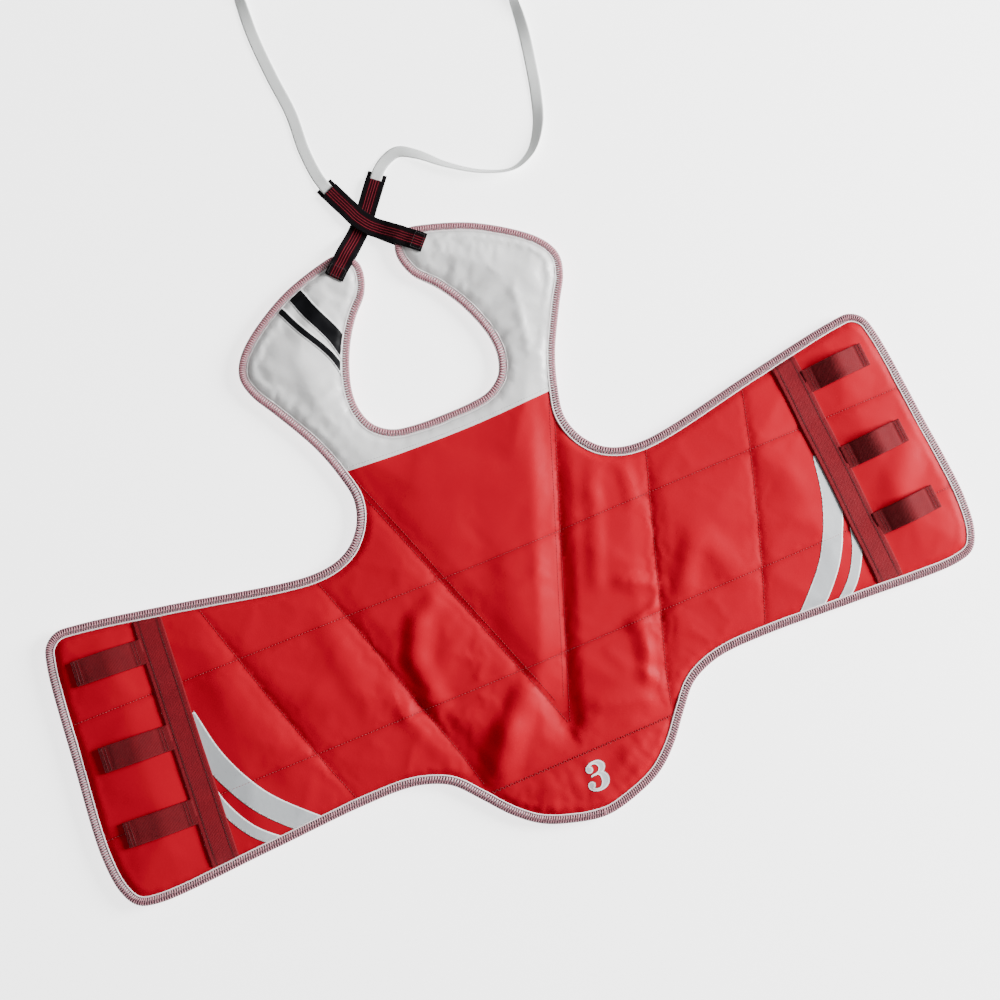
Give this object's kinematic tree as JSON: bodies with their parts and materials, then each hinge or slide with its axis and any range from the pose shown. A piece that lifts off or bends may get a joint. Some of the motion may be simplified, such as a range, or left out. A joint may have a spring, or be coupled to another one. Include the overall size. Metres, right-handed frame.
{
  "type": "chest protector",
  "caption": "Padded martial arts chest protector laid flat: quilted torso, wrap-round wings with lacing loops, yoked shoulders and crossed neck elastics with tie tapes.",
  "frame": {"origin": "on the surface that the vest lies on, under the middle of the vest without its free ties", "axes": "+X across the vest, towards its right in plan; +Y from the lower flap to the neck; +Z out of the front face"},
  "size_m": [0.932, 1.044, 0.026],
  "materials": {
    "red_leatherette": "satin, soft creases",
    "blue_leatherette": "satin, soft creases",
    "white_leatherette": "glossy",
    "foam_core": "matte closed-cell foam",
    "edge_binding": "overlocked thread over white piping",
    "webbing": "ribbed weave",
    "neck_elastic": "ribbed elastic with fine stripes",
    "tie_tape": "flat woven tape"
  },
  "bodies": {
    "torso": {"back_cover_torso": "blue_leatherette", "binding_armpit_left": "edge_binding", "binding_armpit_right": "edge_binding", "binding_neck": "edge_binding", "binding_waist_left": "edge_binding", "binding_waist_right": "edge_binding", "foam_torso": "foam_core", "front_body_panel": "red_leatherette", "front_v_panel": "red_leatherette", "front_yoke": "white_leatherette", "tie_coil_left": "tie_tape", "tie_coil_right": "tie_tape"},
    "wing_right": {"back_cover_wing_right": "blue_leatherette", "binding_wing_foot_right": "edge_binding", "binding_wing_top_right": "edge_binding", "foam_wing_right": "foam_core", "front_cover_wing_right": "red_leatherette"},
    "wing_left": {"back_cover_wing_left": "blue_leatherette", "binding_wing_foot_left": "edge_binding", "binding_wing_top_left": "edge_binding", "foam_wing_left": "foam_core", "front_cover_wing_left": "red_leatherette"},
    "flap_right": {"back_cover_flap_right": "blue_leatherette", "binding_flap_right": "edge_binding", "foam_flap_right": "foam_core", "front_cover_flap_right": "red_leatherette", "lacing_loop_right_1": "webbing", "lacing_loop_right_2": "webbing", "lacing_loop_right_3": "webbing", "webbing_strip_right": "webbing"},
    "flap_left": {"back_cover_flap_left": "blue_leatherette", "binding_flap_left": "edge_binding", "foam_flap_left": "foam_core", "front_cover_flap_left": "red_leatherette", "lacing_loop_left_1": "webbing", "lacing_loop_left_2": "webbing", "lacing_loop_left_3": "webbing", "webbing_strip_left": "webbing"},
    "shoulder_right": {"back_cover_shoulder_right": "white_leatherette", "binding_shoulder_right": "edge_binding", "elastic_back_right": "neck_elastic", "elastic_front_right": "neck_elastic", "foam_shoulder_right": "foam_core", "front_cover_shoulder_right": "white_leatherette", "neck_tie_left": "tie_tape"},
    "shoulder_left": {"back_cover_shoulder_left": "white_leatherette", "binding_shoulder_left": "edge_binding", "elastic_back_left": "neck_elastic", "elastic_front_left": "neck_elastic", "foam_shoulder_left": "foam_core", "front_cover_shoulder_left": "white_leatherette", "neck_tie_right": "tie_tape"},
    "lower_flap": {"back_cover_lower_flap": "blue_leatherette", "binding_lower_flap": "edge_binding", "foam_lower_flap": "foam_core", "front_cover_lower_flap": "red_leatherette"}
  },
  "joints": [
    {"name": "right_side_fold", "type": "hinge", "parent": "torso", "child": "wing_right", "pos_m": [0.15, -0.1325, 0.015], "axis": [0, -1, 0], "range_deg": [0, 90]},
    {"name": "right_back_fold", "type": "hinge", "parent": "wing_right", "child": "flap_right", "pos_m": [0.33673, -0.1225, 0.015], "axis": [0.059, -0.9983, 0], "range_deg": [0, 90]},
    {"name": "left_side_fold", "type": "hinge", "parent": "torso", "child": "wing_left", "pos_m": [-0.15, -0.1325, 0.015], "axis": [0, 1, 0], "range_deg": [0, 90]},
    {"name": "left_back_fold", "type": "hinge", "parent": "wing_left", "child": "flap_left", "pos_m": [-0.33673, -0.1225, 0.015], "axis": [0.059, 0.9983, 0], "range_deg": [0, 90]},
    {"name": "shoulder_fold", "type": "hinge", "parent": "torso", "child": "shoulder_right", "pos_m": [0.095, 0.0975, 0.015], "axis": [1, 0, 0], "range_deg": [0, 90]},
    {"name": "left_shoulder_fold", "type": "hinge", "parent": "torso", "child": "shoulder_left", "pos_m": [-0.095, 0.0975, 0.015], "axis": [1, 0, 0], "range_deg": [0, 90]},
    {"name": "lower_flap_fold", "type": "hinge", "parent": "torso", "child": "lower_flap", "pos_m": [0, -0.2845, 0.015], "axis": [-1, 0, 0], "range_deg": [0, 60]}
  ],
  "couplings": [
    {"joint": "right_back_fold", "follows": "right_side_fold", "ratio": 1},
    {"joint": "left_back_fold", "follows": "left_side_fold", "ratio": 1},
    {"joint": "left_shoulder_fold", "follows": "shoulder_fold", "ratio": 1}
  ]
}
